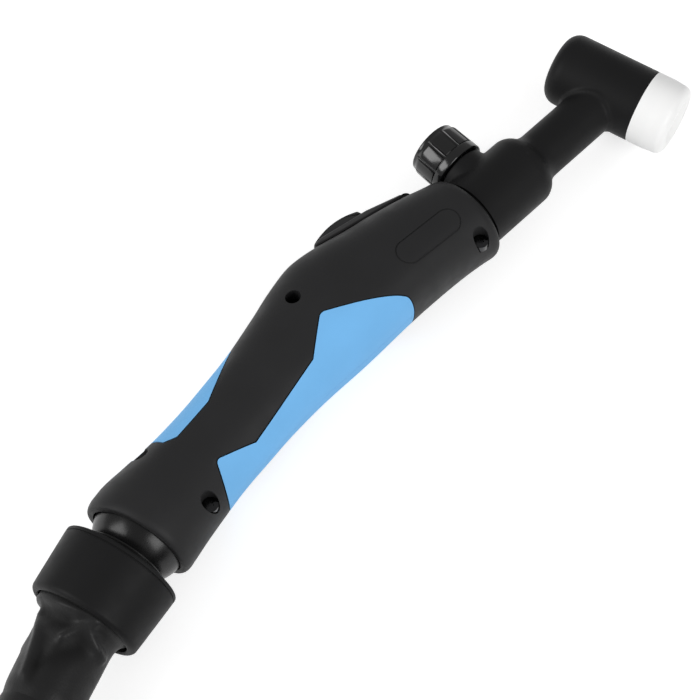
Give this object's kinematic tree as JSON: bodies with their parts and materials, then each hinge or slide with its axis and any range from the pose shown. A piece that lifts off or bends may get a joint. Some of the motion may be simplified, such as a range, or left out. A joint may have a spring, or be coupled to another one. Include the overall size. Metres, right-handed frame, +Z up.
{
  "type": "TIG welding torch",
  "caption": "Gas-cooled TIG welding torch with a valve head, trigger handle with soft blue grips, ball swivel and sleeved cable with plug.",
  "frame": {"origin": "under the middle of the torch's bounding box, on the table that the torch lies on; the cable, its coil and the plug don't count", "axes": "+X along the neck towards the head, +Y towards the valve knob and the trigger (the nozzle end points towards -Y), +Z up, square to the middle plane of the handle, because the torch lies on its side"},
  "size_m": [0.5162, 0.4744, 0.052],
  "materials": {
    "moulded_black": "smooth moulded phenolic, low sheen",
    "insulator_white": "white heat-resistant moulding",
    "handle_charcoal": "fine moulded grain",
    "grip_blue": "soft flat thermoplastic rubber",
    "knob_black": "glossy",
    "trigger_black": "satin",
    "collar_black": "satin moulding",
    "inner_black": "plain moulding",
    "plunger_red": "plain",
    "liner_ivory": "low-friction nylon",
    "brass": "machined",
    "copper": "drawn copper tube",
    "steel": "dark plated steel",
    "hose_rubber": "matt hose rubber",
    "lead_red": "wire insulation",
    "sleeve_black": "soft wrinkled sleeve",
    "strap_black": "hook-and-loop strap",
    "boot_rubber": "matt rubber",
    "nut_black": "satin moulding"
  },
  "bodies": {
    "cable_side": {"knuckle_ball": "moulded_black", "inner_hose_rear": "hose_rubber", "collar_nut": "collar_black", "sleeve_clamp": "steel", "sleeve_cuff": "sleeve_black", "cable_run": "sleeve_black", "cable_coil": "sleeve_black", "coil_ties": "strap_black", "plug_boot": "boot_rubber", "plug_housing": "inner_black", "plug_core": "brass", "plug_insulator": "inner_black", "plug_contacts": "brass", "plug_o_ring": "hose_rubber"},
    "swivel": {"swivel_liner": "liner_ivory"},
    "handle": {"head_insulator": "moulded_black", "head_body": "brass", "neck_tube": "copper", "front_insulator_ring": "insulator_white", "valve_block": "brass", "valve_gland": "brass", "valve_o_ring": "hose_rubber", "handle_shell_left": "handle_charcoal", "handle_shell_right": "handle_charcoal", "belly_grip_left": "grip_blue", "belly_grip_right": "grip_blue", "back_grip_left": "grip_blue", "back_grip_right": "grip_blue", "shell_screws": "steel", "shell_inserts": "brass", "trigger_pin": "steel", "switch_carrier": "inner_black", "switch_body": "inner_black", "switch_terminals": "brass", "switch_leads": "lead_red", "power_nut": "brass", "hose_barb": "brass", "hose_ferrule": "steel", "inner_hose_front": "hose_rubber", "swivel_housing": "inner_black"},
    "trigger": {"trigger_plate": "trigger_black", "trigger_pad": "trigger_black"},
    "plunger": {"switch_plunger": "plunger_red"},
    "valve": {"valve_stem": "brass", "valve_knob": "knob_black", "knob_screw": "steel"},
    "plug_nut": {"plug_union_nut": "nut_black"}
  },
  "joints": [
    {"name": "knuckle_tilt", "type": "hinge", "parent": "cable_side", "child": "swivel", "pos_m": [-0.098, -0.00508, 0.0193], "axis": [0, 0, 1], "range_deg": [-12, 12]},
    {"name": "knuckle_swivel", "type": "hinge", "parent": "swivel", "child": "handle", "pos_m": [-0.098, -0.00508, 0.0193], "axis": [0.9677, 0.2521, 0], "continuous": true},
    {"name": "trigger_press", "type": "hinge", "parent": "handle", "child": "trigger", "pos_m": [0.0385, 0.0194, 0.0193], "axis": [0, 0, 1], "range_deg": [0, 4], "stiffness_Nm_per_rad": 0.6},
    {"name": "plunger_press", "type": "slide", "parent": "handle", "child": "plunger", "axis": [0, -1, 0], "range_m": [0, 0.00134]},
    {"name": "valve_turn", "type": "hinge", "parent": "handle", "child": "valve", "pos_m": [0.0607, 0.0223, 0.0193], "axis": [0, 1, 0], "range_deg": [0, 540]},
    {"name": "plug_nut_turn", "type": "hinge", "parent": "cable_side", "child": "plug_nut", "pos_m": [-0.08961, -0.42455, 0.019], "axis": [0.9991, 0.0429, 0], "continuous": true}
  ],
  "couplings": [
    {"joint": "plunger_press", "follows": "trigger_press", "m_per_rad": 0.0189}
  ]
}
